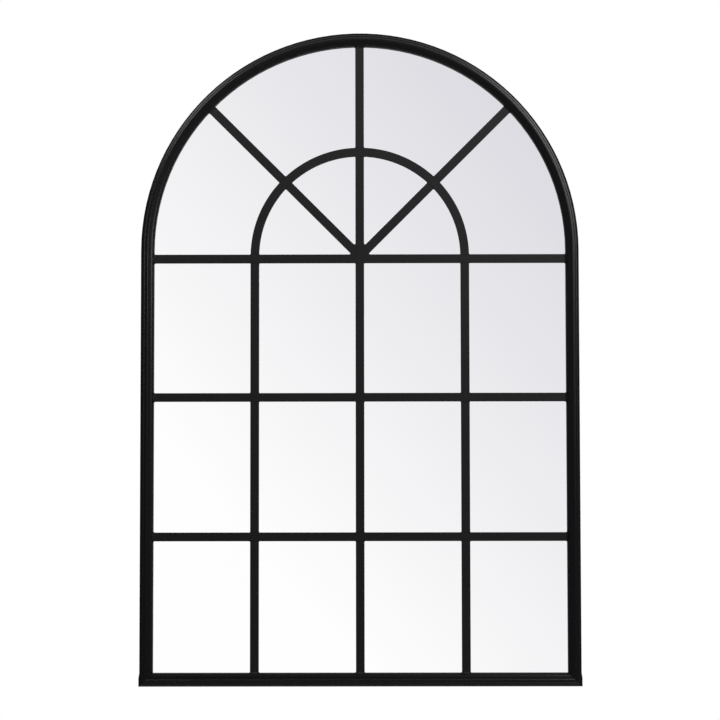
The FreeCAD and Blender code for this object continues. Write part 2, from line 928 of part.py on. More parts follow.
def make_hanger_ring(label, side):
    """D-ring of round wire: a straight bar in the eye, two legs and a round bow below."""
    body = new_body(label)
    corner = size("ring_corner_radius")
    reach = size("ring_reach")
    path = new_sketch(body, "half_path", "XZ_Plane")
    spots = [
        Corner(ZERO, ZERO),
        Corner(half_ring - corner, ZERO, corner, -1),
        Corner(half_ring, -corner),
        Corner(half_ring, half_ring - reach, half_ring, -1),
        Corner(ZERO, -reach),
    ]
    draw_path(path, spots)
    wire = new_sketch(body, "wire", "YZ_Plane")
    draw_circle(wire, ZERO, ZERO, size("ring_wire_radius"))
    doc.recompute()
    half = body.newObject("PartDesign::AdditivePipe", "half_bow")
    half.Profile = wire
    half.Spine = (path, ["Edge%d" % number for number in range(1, len(spots))])
    doc.recompute()
    mirror_across(body, half, "whole_bow")
    place(body, leg_middle * side, eye_centre, ring_height)
    keep(body, label)


def draw_path(sketch, corners):
    """Draw an open path whose corners and radii follow the sheet."""
    for before, after in zip(corners, corners[1:]):
        start, end = before.point(), after.point()
        if before.radius is None:
            edge = sketch.addGeometry(Part.LineSegment(start, end))
        else:
            edge = sketch.addGeometry(arc_between(start, end, before.radius.value, before.bend))
            constraint = Sketcher.Constraint("Radius", edge, before.radius.value)
            bind(sketch, "Constraints[%d]" % sketch.addConstraint(constraint), before.radius)
        forward = before.radius is None or before.bend > 0
        pin_coordinate(sketch, "DistanceX", -2, edge, 1 if forward else 2, before.x)
        pin_coordinate(sketch, "DistanceY", -1, edge, 1 if forward else 2, before.y)
        pin_coordinate(sketch, "DistanceX", -2, edge, 2 if forward else 1, after.x)
        pin_coordinate(sketch, "DistanceY", -1, edge, 2 if forward else 1, after.y)


def make_hangers():
    for name, side in SIDES.items():
        make_hanger_strap("hanger_strap_" + name, side)
        make_hanger_ring("hanger_ring_" + name, side)


def check_and_write():
    doc.recompute()
    for feature in doc.Objects:
        if "Invalid" in feature.State or "Error" in feature.State:
            raise RuntimeError("%s did not build: %s" % (feature.Label, feature.State))
    for feature in parts:
        if feature.Shape.isNull() or not feature.Shape.isValid():
            raise RuntimeError("%s has no valid shape" % feature.Label)
    os.makedirs("parts", exist_ok=True)
    for feature in parts:
        feature.Shape.exportStep("parts/%s.step" % feature.Label)
        print("%-24s %9.1f mm3" % (feature.Label, feature.Shape.Volume))


make_frame_arch()
make_frame_bottom_rail()
make_corner_plates()
make_transoms()
make_uprights()
make_fan_arch()
make_inner_radials()
make_outer_radials()
arched_sheet("mirror_pane", size("glass_gap"), size("glass_thickness"), glass_back)
arched_sheet("backing_board", size("board_gap"), size("board_thickness"), board_back)
make_setting_blocks()
make_clips()
make_screws()
make_bumpers()
make_hangers()
check_and_write()
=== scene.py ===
"""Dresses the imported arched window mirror: finishes, welds at the bar joints, studio and camera.

Every length is in metres in the model's own frame: +Z is up, the front faces -Y and the wall is y = 0.
"""

from __future__ import annotations

import logging
import math
from abc import ABC, abstractmethod
from collections.abc import Iterator, Mapping, Sequence
from dataclasses import dataclass
from enum import Enum

import bmesh
import bpy
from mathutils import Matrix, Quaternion, Vector

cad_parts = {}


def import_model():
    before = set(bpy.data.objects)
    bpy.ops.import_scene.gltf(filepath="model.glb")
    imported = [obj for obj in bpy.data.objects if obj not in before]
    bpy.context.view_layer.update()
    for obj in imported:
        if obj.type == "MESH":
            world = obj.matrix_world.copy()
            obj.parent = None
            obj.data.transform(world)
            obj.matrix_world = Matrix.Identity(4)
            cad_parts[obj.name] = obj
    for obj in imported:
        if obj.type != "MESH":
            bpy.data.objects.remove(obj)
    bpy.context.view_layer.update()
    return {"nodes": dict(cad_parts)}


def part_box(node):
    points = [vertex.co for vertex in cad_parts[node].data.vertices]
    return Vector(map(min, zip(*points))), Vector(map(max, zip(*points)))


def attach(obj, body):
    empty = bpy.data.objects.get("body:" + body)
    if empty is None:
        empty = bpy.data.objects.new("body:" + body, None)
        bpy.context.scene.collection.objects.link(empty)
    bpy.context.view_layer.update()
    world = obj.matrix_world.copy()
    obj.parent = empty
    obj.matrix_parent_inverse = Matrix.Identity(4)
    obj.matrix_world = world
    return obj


Colour = tuple[float, float, float]
Triple = tuple[float, float, float]
Point = tuple[float, float]
Span = tuple[float, float]
Key = str | int

LOG = logging.getLogger("window_mirror")
MIRROR_BODY = "mirror"
MM = 0.001
WHITE: Colour = (1.0, 1.0, 1.0)

# Directions seen from the front, as x and z, and the signs of a bar's two sides.
LEFT: Point = (-1.0, 0.0)
RIGHT: Point = (1.0, 0.0)
DOWN: Point = (0.0, -1.0)
UP: Point = (0.0, 1.0)
SIDES: Span = (-1.0, 1.0)

# The middle of what runs from 0 to 1, and the swing of each of two waves that add up to that run.
MEAN = 0.5
WAVE_SWING = 0.25


class Slot(Enum):
    """The record's material slots."""

    FRAME = "frame_black"
    BAR = "bar_black"
    GLASS = "silvered_glass"
    BOARD = "backing_hardboard"
    BLOCK = "block_rubber"
    BUMPER = "bumper_rubber"
    CLIP = "clip_zinc"
    SCREW = "screw_zinc"
    STRAP = "strap_zinc"
    RING = "ring_nickel"


class Sock:
    """A node's output that takes part in Python expressions."""

    def __init__(self, graph: Graph, socket: bpy.types.NodeSocket) -> None:
        """Keeps the socket and the graph that new nodes go into."""
        self.graph = graph
        self.socket = socket

    def _math(self, operation: str, first: Value, second: Value) -> Sock:
        """Adds one Math node and gives its result."""
        return self.graph.node("ShaderNodeMath", {"operation": operation}, {0: first, 1: second})["Value"]

    def __add__(self, other: Value) -> Sock:
        """self + other."""
        return self._math("ADD", self, other)

    def __radd__(self, other: Value) -> Sock:
        """other + self."""
        return self._math("ADD", other, self)

    def __sub__(self, other: Value) -> Sock:
        """self - other."""
        return self._math("SUBTRACT", self, other)

    def __rsub__(self, other: Value) -> Sock:
        """other - self."""
        return self._math("SUBTRACT", other, self)

    def __mul__(self, other: Value) -> Sock:
        """self * other."""
        return self._math("MULTIPLY", self, other)

    def __rmul__(self, other: Value) -> Sock:
        """other * self."""
        return self._math("MULTIPLY", other, self)

    def __neg__(self) -> Sock:
        """-self."""
        return self._math("MULTIPLY", -1.0, self)

    def lowest(self, other: Value) -> Sock:
        """The lower of the two values."""
        return self._math("MINIMUM", self, other)

    def highest(self, other: Value) -> Sock:
        """The higher of the two values."""
        return self._math("MAXIMUM", self, other)

    def sine(self) -> Sock:
        """The sine of an angle in radians."""
        return self._math("SINE", self, 0.0)


Value = Sock | float
Held = Sock | float | Sequence[float]


class Made:
    """A node just made, whose outputs are taken by name or number."""

    def __init__(self, graph: Graph, node: bpy.types.Node) -> None:
        """Keeps the node and its graph."""
        self.graph = graph
        self.node = node

    def __getitem__(self, key: Key) -> Sock:
        """The output of that name or number."""
        return Sock(self.graph, self.node.outputs[key])


class Graph:
    """A node tree that is written as Python expressions."""

    # The Mix node's sockets for colours go by number, because their names repeat.
    MIX_SHARE = 0
    MIX_FIRST = 6
    MIX_SECOND = 7
    MIX_RESULT = 2

    def __init__(self, tree: bpy.types.NodeTree) -> None:
        """Empties the tree and keeps it."""
        tree.nodes.clear()
        self.tree = tree

    def node(
        self,
        kind: str,
        settings: Mapping[str, object] | None = None,
        values: Mapping[Key, Held] | None = None,
    ) -> Made:
        """Adds one node.

        Args:
            kind: the node's type.
            settings: its attributes, such as a Math node's operation, which are set first.
            values: what each input, by name or number, holds or is linked to.

        Returns:
            The node, whose outputs are taken by name or number.
        """
        node = self.tree.nodes.new(kind)
        for name, value in (settings or {}).items():
            setattr(node, name, value)
        for key, value in (values or {}).items():
            if isinstance(value, Sock):
                self.tree.links.new(value.socket, node.inputs[key])
            else:
                node.inputs[key].default_value = value
        return Made(self, node)

    def place(self) -> Sock:
        """The point on the piece, in metres in the model's frame."""
        return self.node("ShaderNodeTexCoord")["Object"]

    def split(self, vector: Sock) -> tuple[Sock, Sock, Sock]:
        """A vector's x, y and z."""
        made = self.node("ShaderNodeSeparateXYZ", values={"Vector": vector})
        return made["X"], made["Y"], made["Z"]

    def length(self, vector: Sock) -> Sock:
        """A vector's length."""
        return self.node("ShaderNodeVectorMath", {"operation": "LENGTH"}, {0: vector})["Value"]

    def scaled(self, place: Sock, factors: Triple) -> Sock:
        """The point scaled along x, y and z, which draws a pattern out where a factor is below 1."""
        held = {0: place, 1: factors}
        return self.node("ShaderNodeVectorMath", {"operation": "MULTIPLY"}, held)["Vector"]

    def noise(self, place: Sock, size: float, detail: float = 2.0, harshness: float = 0.5) -> Sock:
        """Noise from 0 to 1 in clouds of one size, with finer layers of that detail and harshness."""
        held = {"Vector": place, "Scale": 1.0 / size, "Detail": detail, "Roughness": harshness}
        return self.node("ShaderNodeTexNoise", values=held)["Fac"]

    @staticmethod
    def solid(colour: Held) -> Held:
        """A colour of three numbers with its fourth one added."""
        return colour if isinstance(colour, Sock) else (*colour, 1.0)

    def mix(self, share: Value, first: Held, second: Held) -> Sock:
        """A colour between two colours: a share of 0 gives the first one and 1 the second."""
        held = {
            self.MIX_SHARE: share,
            self.MIX_FIRST: self.solid(first),
            self.MIX_SECOND: self.solid(second),
        }
        return self.node("ShaderNodeMix", {"data_type": "RGBA"}, held)[self.MIX_RESULT]

    def between(self, value: Sock, low: float, high: float) -> Sock:
        """A smooth rise from 0, where the value is low or less, to 1, where it is high or more."""
        held = {"Value": value, "From Min": low, "From Max": high}
        return self.node("ShaderNodeMapRange", {"interpolation_type": "SMOOTHSTEP"}, held)["Result"]

    def bump(self, height: Sock, depth: float, strength: float) -> Sock:
        """A normal that stands for relief of that depth and strength, whose height runs from 0 to 1."""
        held = {"Height": height, "Distance": depth, "Strength": strength}
        return self.node("ShaderNodeBump", values=held)["Normal"]

    def surface(self, values: Mapping[Key, Held]) -> None:
        """Ends a material with one Principled shader that has those values and links."""
        shader = self.node("ShaderNodeBsdfPrincipled", values=values)["BSDF"]
        self.node("ShaderNodeOutputMaterial", values={"Surface": shader})


@dataclass(frozen=True)
class Finish(ABC):
    """A surface finish that makes its own node material.

    Attributes:
        name: the material's name.
    """

    name: str

    @abstractmethod
    def paint(self, graph: Graph) -> None:
        """Writes the finish into a material's nodes."""

    def material(self) -> bpy.types.Material:
        """Makes the finish's material at the first call and finds it again later.

        Returns:
            The material.
        """
        material = bpy.data.materials.get(self.name)
        if material is None:
            material = bpy.data.materials.new(self.name)
            material.use_nodes = True
            self.paint(Graph(material.node_tree))
        return material


@dataclass(frozen=True)
class PowderCoat(Finish):
    """Black powder coat with a fine peel and clouds of slightly different sheen.

    Attributes:
        colour: the coat's mean colour.
        fleck: the paler colour of its finest grains.
        roughness: the mean roughness.
        sheen_swing: how far the roughness wanders to either side.
        gloss: the specular level.
        peel: the width of one grain of the peel.
        peel_depth: the depth of the peel.
        peel_strength: how far the peel shows.
        fleck_rise: the grain's values between which the fleck comes out.
        cloud: the width of one cloud of sheen.
        grain_swing: the grain's swing of the sheen as a share of the clouds'.
        pebble: the width of the peel's pebbles as a multiple of its grains'.
        pebble_relief: the pebbles' share of the relief, of which the grains have the rest.
    """

    colour: Colour
    fleck: Colour
    roughness: float
    sheen_swing: float
    gloss: float
    peel: float
    peel_depth: float
    peel_strength: float = 0.35
    fleck_rise: Span = (0.45, 0.75)
    cloud: float = 60 * MM
    grain_swing: float = 0.5
    pebble: float = 2.2
    pebble_relief: float = 0.6

    def paint(self, graph: Graph) -> None:
        """Writes the coat: grain in the colour, clouds in the sheen and the peel as relief.

        Args:
            graph: the material's nodes.
        """
        place = graph.place()
        grain = graph.noise(place, self.peel, detail=3.0, harshness=0.6)
        cloud = graph.noise(place, self.cloud)
        pebble = graph.noise(place, self.pebble * self.peel, detail=1.0)
        fleck = graph.between(grain, *self.fleck_rise)
        fine_swing = self.grain_swing * self.sheen_swing
        sheen = self.roughness + self.sheen_swing * (cloud - MEAN) + fine_swing * (grain - MEAN)
        relief = self.pebble_relief * pebble + (1.0 - self.pebble_relief) * grain
        graph.surface(
            {
                "Base Color": graph.mix(fleck, self.colour, self.fleck),
                "Roughness": sheen,
                "Specular IOR Level": self.gloss,
                "Normal": graph.bump(relief, self.peel_depth, self.peel_strength),
            }
        )


@dataclass(frozen=True)
class SilveredGlass(Finish):
    """Float glass silvered on its back: a sharp mirror in front, green cut edges and a painted back.

    Attributes:
        silver: the mirror's colour.
        cast: its colour where the silvering is a little thinner.
        edge: the colour of the cut edges.
        paint_back: the colour of the protective paint behind the silver.
        facing_rise: the share of its normal between which a face becomes the front or the back.
        cloud: the width of one cloud in the silvering.
        cloud_rise: the noise's values between which a cloud comes out.
        side_roughness: the roughness of the edges and the back.
        gloss: the specular level of the edges and the back.
    """

    silver: Colour
    cast: Colour
    edge: Colour
    paint_back: Colour
    facing_rise: Span = (0.5, 0.6)
    cloud: float = 0.3
    cloud_rise: Span = (0.3, 0.8)
    side_roughness: float = 0.45
    gloss: float = 0.5

    def paint(self, graph: Graph) -> None:
        """Writes the pane's front, edges and back, told apart by the way they face.

        Args:
            graph: the material's nodes.
        """
        _, away, _ = graph.split(graph.node("ShaderNodeTexCoord")["Normal"])
        front = graph.between(-away, *self.facing_rise)
        back = graph.between(away, *self.facing_rise)
        cloud = graph.between(graph.noise(graph.place(), self.cloud, detail=1.0), *self.cloud_rise)
        side = graph.mix(back, self.edge, self.paint_back)
        graph.surface(
            {
                "Base Color": graph.mix(front, side, graph.mix(cloud, self.silver, self.cast)),
                "Metallic": front,
                "Roughness": self.side_roughness * (1.0 - front),
                "Specular IOR Level": self.gloss,
            }
        )


@dataclass(frozen=True)
class Hardboard(Finish):
    """Brown pressed hardboard with its screen-backed face.

    Attributes:
        pale: the colour of the raised fibres.
        dark: the colour of the pressed ones.
        screen: the spacing of the screen's weave.
        fibre: the width of one fibre.
        fibre_factors: the factors on x, y and z that draw the fibres out.
        mat: the width of one cloud of matted fibres.
        shade_shares: how much the fibres, the mat and the weave count in the colour.
        shade_rise: the sum's values between which the colour goes from dark to pale.
        roughness: the lowest roughness.
        fibre_roughness: how much rougher the raised fibres are.
        gloss: the specular level.
        weave_relief: the weave's share of the relief, of which the fibres have the rest.
        relief_depth: the depth of the relief.
        relief_strength: how far the relief shows.
    """

    pale: Colour
    dark: Colour
    screen: float
    fibre: float = 1.6 * MM
    fibre_factors: Triple = (1.0, 1.0, 0.25)
    mat: float = 25 * MM
    shade_shares: Triple = (0.55, 0.3, 0.15)
    shade_rise: Span = (0.3, 0.7)
    roughness: float = 0.72
    fibre_roughness: float = 0.2
    gloss: float = 0.3
    weave_relief: float = 0.6
    relief_depth: float = 0.25 * MM
    relief_strength: float = 0.5

    def paint(self, graph: Graph) -> None:
        """Writes matted fibres in the colour and the screen's weave as relief.

        Args:
            graph: the material's nodes.
        """
        place = graph.place()
        fibre = graph.noise(graph.scaled(place, self.fibre_factors), self.fibre, detail=4.0, harshness=0.65)
        mat = graph.noise(place, self.mat, detail=3.0)
        along, _, up = graph.split(place)
        turn = math.tau / self.screen
        weave = MEAN + WAVE_SWING * (turn * along).sine() + WAVE_SWING * (turn * up).sine()
        of_fibre, of_mat, of_weave = self.shade_shares
        shade = graph.between(of_fibre * fibre + of_mat * mat + of_weave * weave, *self.shade_rise)
        relief = self.weave_relief * weave + (1.0 - self.weave_relief) * fibre
        graph.surface(
            {
                "Base Color": graph.mix(shade, self.dark, self.pale),
                "Roughness": self.roughness + self.fibre_roughness * fibre,
                "Specular IOR Level": self.gloss,
                "Normal": graph.bump(relief, self.relief_depth, self.relief_strength),
            }
        )


@dataclass(frozen=True)
class Plating(Finish):
    """Plated steel: a metal colour with a cloudy bloom and fine drawing marks.

    Attributes:
        bright: the metal's colour.
        dull: its colour where the plating has bloomed.
        roughness: the lowest roughness.
        bloom: the width of one cloud of bloom.
        mark_factors: the factors on x, y and z that draw the marks out.
        bloom_rise: the noise's values between which the bloom comes out.
        bloom_roughness: how much rougher the bloom is.
        mark: the width of one drawing mark.
        mark_roughness: how much rougher the marks are.
        mark_depth: the depth of the marks.
        mark_strength: how far the marks show.
    """

    bright: Colour
    dull: Colour
    roughness: float
    bloom: float
    mark_factors: Triple
    bloom_rise: Span = (0.35, 0.7)
    bloom_roughness: float = 0.16
    mark: float = 0.8 * MM
    mark_roughness: float = 0.08
    mark_depth: float = 0.03 * MM
    mark_strength: float = 0.3

    def paint(self, graph: Graph) -> None:
        """Writes bloom in the colour and roughness and drawing marks as relief.

        Args:
            graph: the material's nodes.
        """
        place = graph.place()
        bloom = graph.between(graph.noise(place, self.bloom, detail=3.0, harshness=0.6), *self.bloom_rise)
        mark = graph.noise(graph.scaled(place, self.mark_factors), self.mark)
        graph.surface(
            {
                "Base Color": graph.mix(bloom, self.bright, self.dull),
                "Metallic": 1.0,
                "Roughness": self.roughness + self.bloom_roughness * bloom + self.mark_roughness * mark,
                "Normal": graph.bump(mark, self.mark_depth, self.mark_strength),
            }
        )


@dataclass(frozen=True)
class Rubber(Finish):
    """Moulded rubber with a dusty bloom.

    Attributes:
        colour: the rubber's colour.
        bloom: its colour where it is dusty.
        dust: the width of one cloud of dust.
        dust_rise: the noise's values between which the dust comes out.
        roughness: the lowest roughness.
        dust_roughness: how much rougher the dust is.
        gloss: the specular level.
        grain: the width of one moulded grain.
        grain_depth: the depth of the grain.
        grain_strength: how far the grain shows.
    """

    colour: Colour
    bloom: Colour
    dust: float = 6 * MM
    dust_rise: Span = (0.4, 0.75)
    roughness: float = 0.55
    dust_roughness: float = 0.25
    gloss: float = 0.35
    grain: float = 0.5 * MM
    grain_depth: float = 0.05 * MM
    grain_strength: float = 0.4

    def paint(self, graph: Graph) -> None:
        """Writes the bloom in the colour and roughness and a fine moulded grain as relief.

        Args:
            graph: the material's nodes.
        """
        place = graph.place()
        dust = graph.between(graph.noise(place, self.dust, detail=3.0), *self.dust_rise)
        grain = graph.noise(place, self.grain)
        graph.surface(
            {
                "Base Color": graph.mix(dust, self.colour, self.bloom),
                "Roughness": self.roughness + self.dust_roughness * dust,
                "Specular IOR Level": self.gloss,
                "Normal": graph.bump(grain, self.grain_depth, self.grain_strength),
            }
        )


FINISHES: Mapping[Slot, Finish] = {
    Slot.FRAME: PowderCoat(
        name="frame_coat",
        colour=(0.0014, 0.0014, 0.0015),
        fleck=(0.0026, 0.0026, 0.0027),
        roughness=0.30,
        sheen_swing=0.04,
        gloss=0.164,
        peel=0.9 * MM,
        peel_depth=0.003 * MM,
    ),
    Slot.BAR: PowderCoat(
        name="bar_coat",
        colour=(0.0034, 0.0034, 0.0035),
        fleck=(0.0060, 0.0060, 0.0061),
        roughness=0.55,
        sheen_swing=0.10,
        gloss=0.154,
        peel=0.8 * MM,
        peel_depth=0.02 * MM,
    ),
    Slot.GLASS: SilveredGlass(
        name="mirror_silver",
        silver=(0.992, 0.992, 0.993),
        cast=(0.984, 0.985, 0.985),
        edge=(0.08, 0.16, 0.12),
        paint_back=(0.20, 0.22, 0.22),
    ),
    Slot.BOARD: Hardboard(
        name="board_fibre",
        pale=(0.30, 0.19, 0.105),
        dark=(0.155, 0.088, 0.045),
        screen=1.6 * MM,
    ),
    Slot.BLOCK: Rubber(
        name="block_rubber_grain",
        colour=(0.030, 0.030, 0.031),
        bloom=(0.060, 0.059, 0.057),
    ),
    Slot.BUMPER: Rubber(
        name="bumper_rubber_grain",
        colour=(0.045, 0.044, 0.043),
        bloom=(0.085, 0.082, 0.079),
    ),
    Slot.CLIP: Plating(
        name="clip_plate",
        bright=(0.66, 0.68, 0.71),
        dull=(0.50, 0.52, 0.54),
        roughness=0.26,
        bloom=9 * MM,
        mark_factors=(1.0, 1.0, 0.15),
    ),
    Slot.SCREW: Plating(
        name="screw_plate",
        bright=(0.70, 0.71, 0.73),
        dull=(0.52, 0.53, 0.54),
        roughness=0.22,
        bloom=4 * MM,
        mark_factors=(0.4, 1.0, 0.4),
    ),
    Slot.STRAP: Plating(
        name="strap_plate",
        bright=(0.64, 0.66, 0.69),
        dull=(0.47, 0.49, 0.51),
        roughness=0.28,
        bloom=10 * MM,
        mark_factors=(1.0, 1.0, 0.12),
    ),
    Slot.RING: Plating(
        name="ring_plate",
        bright=(0.72, 0.69, 0.64),
        dull=(0.60, 0.57, 0.53),
        roughness=0.16,
        bloom=6 * MM,
        mark_factors=(1.0, 1.0, 1.0),
    ),
}


@dataclass(frozen=True)
class Assembly(ABC):
    """A group of the model's nodes and the scene's own pieces on them.

    Attributes:
        nodes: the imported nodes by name.
        finishes: the finish of each material slot.
    """

    nodes: Mapping[str, bpy.types.Object]
    finishes: Mapping[Slot, Finish]

    def build(self) -> None:
        """Makes the assembly's own meshes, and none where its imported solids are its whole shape."""

    @abstractmethod
    def dress(self) -> None:
        """Gives the assembly's nodes their finishes."""

    def coat(self, slot: Slot, *starts: str) -> None:
        """Gives every node whose name starts so the slot's finish.

        Args:
            slot: the record's material slot.
            starts: the starts of the nodes' names.
        """
        finish = self.finishes[slot]
        for name in sorted(self.nodes):
            if name.startswith(starts):
                for held in self.nodes[name].material_slots:
                    held.material = finish.material()
                LOG.info("%s has the finish %s", name, finish.name)


@dataclass(frozen=True)
class WeldSizes:
    """The sizes of the welds in the corners between the bars.

    Attributes:
        square: the radius of the hollow face in a square corner.
        acute: the radius where two bars meet at an acute angle.
        frame: the radius where a bar meets the frame.
        sink: how far a weld's back lies inside the bars.
        shy: how far its front stays behind the bars' front.
        bevel: the width of its front bevel.
        steps: the runs of its hollow face.
    """

    square: float = 1.6 * MM
    acute: float = 1.9 * MM
    frame: float = 2.4 * MM
    sink: float = 0.5 * MM
    shy: float = 0.25 * MM
    bevel: float = 0.4 * MM
    steps: int = 6


@dataclass(frozen=True)
class BeadSizes:
    """The sizes of the bead of weld on a bar's end.

    Attributes:
        reach: how far the bead lies on the bar.
        lap: how far it lies on the frame's shoulder.
        climb: how high it climbs the shoulder.
        climb_power: how late in its section it climbs.
        bulge: how far its face swells.
        sink: how far its root lies inside the bar and the frame.
        round_power: how squarely it is rounded off towards the bar's edges.
        least_share: the share of its section that is left at the bar's edges.
        stations: the number of sections across the bar.
        steps: the runs of its face in one section.
    """

    reach: float = 2.2 * MM
    lap: float = 2.35 * MM
    climb: float = 4.0 * MM
    climb_power: float = 1.4
    bulge: float = 0.45 * MM
    sink: float = 0.8 * MM
    round_power: float = 3.0
    least_share: float = 0.12
    stations: int = 15
    steps: int = 7


@dataclass(frozen=True)
class Notch:
    """An inner corner between two bars, where a weld sits.

    Attributes:
        point: the corner, as x and z.
        along: the direction from the corner along each of the two edges, as x and z.
    """

    point: Point
    along: tuple[Point, Point]

    def outline(self, radius: float, sink: float, steps: int) -> list[Vector]:
        """The weld's outline, seen from the front.

        Args:
            radius: the radius of the weld's hollow face.
            sink: how far its back lies inside the bars.
            steps: how many runs the hollow face has.

        Returns:
            The outline's points as x and z, the one inside the bars first.
        """
        corner = Vector(self.point)
        first = Vector(self.along[0]).normalized()
        second = Vector(self.along[1]).normalized()
        half = 0.5 * first.angle(second)
        middle = (first + second).normalized()
        reach = radius / math.tan(half)
        centre = corner + middle * (radius / math.sin(half))
        start = (corner + first * reach - centre).normalized()
        end = (corner + second * reach - centre).normalized()
        face = [centre + start.slerp(end, step / steps) * radius for step in range(steps + 1)]
        return [corner - middle * sink, *face]


@dataclass(frozen=True)
class BarEnd:
    """The end of a bar against the frame, where a bead of weld climbs the frame's shoulder.

    Attributes:
        point: the middle of the end, as x and z.
        inward: the direction from the frame along the bar, as x and z.
    """

    point: Point
    inward: Point

    def sections(self, sizes: BeadSizes, half: float, front: float) -> list[list[Vector]]:
        """The bead's sections from one edge of the bar to the other.

        Args:
            sizes: the bead's sizes.
            half: half of the bar's width.
            front: the y of the bar's front.

        Returns:
            One closed ring of points for each section.
        """
        along = Vector((self.inward[0], 0.0, self.inward[1])).normalized()
        across = Vector((-along.z, 0.0, along.x))
        forward = Vector((0.0, -1.0, 0.0))
        middle = Vector((self.point[0], front, self.point[1]))
        rings = []
        for station in range(sizes.stations):
            place = 2.0 * station / (sizes.stations - 1) - 1.0
            scale = max(sizes.least_share, math.sqrt(1.0 - abs(place) ** sizes.round_power))
            base = middle + across * (place * half)
            ring = []
            for step in range(sizes.steps + 1):
                share = step / sizes.steps
                run = scale * (sizes.reach - (sizes.reach + sizes.lap) * share)
                swell = sizes.bulge * math.sin(math.pi * share)
                rise = scale * (sizes.climb * share**sizes.climb_power + swell)
                ring.append(base + along * run + forward * rise)
            for run in (-sizes.lap, sizes.reach):
                ring.append(base + along * (scale * run) - forward * sizes.sink)
            rings.append(ring)
        return rings


class WeldMesh:
    """Gathers welds into one mesh.

    Attributes:
        MOST_INSET: how far a bevel may draw an outline in, as a share of the way to its middle.
        SHARP_ANGLE: the angle between two faces from which their edge looks sharp.
    """

    MOST_INSET = 0.5
    SHARP_ANGLE = math.radians(35.0)

    def __init__(self) -> None:
        """Starts an empty mesh."""
        self.mesh = bmesh.new()

    def stand(self, outline: Sequence[Vector], levels: Sequence[tuple[float, float]]) -> None:
        """Adds one weld that has the same outline from the glass to its bevelled front.

        Args:
            outline: the weld's outline as x and z.
            levels: the y of each level, the back one first, and how far the outline is drawn in there.
        """
        centre = sum(outline, Vector((0.0, 0.0))) / len(outline)
        rings = []
        for depth, inset in levels:
            ring = []
            for point in outline:
                inward = centre - point
                moved = point + inward.normalized() * min(inset, self.MOST_INSET * inward.length)
                ring.append(Vector((moved.x, depth, moved.y)))
            rings.append(ring)
        self.loft(rings)

    def loft(self, sections: Sequence[Sequence[Vector]]) -> None:
        """Adds one weld through its sections, closed at both ends.

        Args:
            sections: rings of points with the same count in each.
        """
        rings = [[self.mesh.verts.new(point) for point in section] for section in sections]
        count = len(rings[0])
        for low, high in zip(rings, rings[1:]):
            for index in range(count):
                after = (index + 1) % count
                self.mesh.faces.new((low[index], low[after], high[after], high[index]))
        self.mesh.faces.new(rings[0])
        self.mesh.faces.new(rings[-1])

    def finish(self, name: str, material: bpy.types.Material) -> bpy.types.Object:
        """Ends the mesh and puts it in the scene.

        Args:
            name: the piece's name.
            material: its finish.

        Returns:
            The piece.
        """
        bmesh.ops.recalc_face_normals(self.mesh, faces=self.mesh.faces[:])
        data = bpy.data.meshes.new(name)
        self.mesh.to_mesh(data)
        self.mesh.free()
        data.materials.append(material)
        data.shade_smooth()
        data.set_sharp_from_angle(angle=self.SHARP_ANGLE)
        piece = bpy.data.objects.new(name, data)
        bpy.context.scene.collection.objects.link(piece)
        return piece


def quarter_turn(vector: Vector) -> Vector:
    """The direction a quarter turn to the left of one, both as x and z."""
    return Vector((-vector.y, vector.x))


@dataclass(frozen=True)
class Fan:
    """The fan of spokes over the upper transom.

    Attributes:
        hub: the height of its centre.
        inner: the inner radius of its half ring.
        outer: the outer radius of its half ring.
        half: half of a bar's width.
        floor: the height of the transom's upper edge, on which it stands.
    """

    hub: float
    inner: float
    outer: float
    half: float
    floor: float

    @classmethod
    def measured(cls) -> Fan:
        """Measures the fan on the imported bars.

        Returns:
            The fan.
        """
        _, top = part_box("fan_arch")
        low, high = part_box("radial_inner_centre")
        half = 0.5 * (high.x - low.x)
        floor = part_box("transom_upper")[1].z
        return cls(hub=top.z - top.x, inner=top.x - 2.0 * half, outer=top.x, half=half, floor=floor)


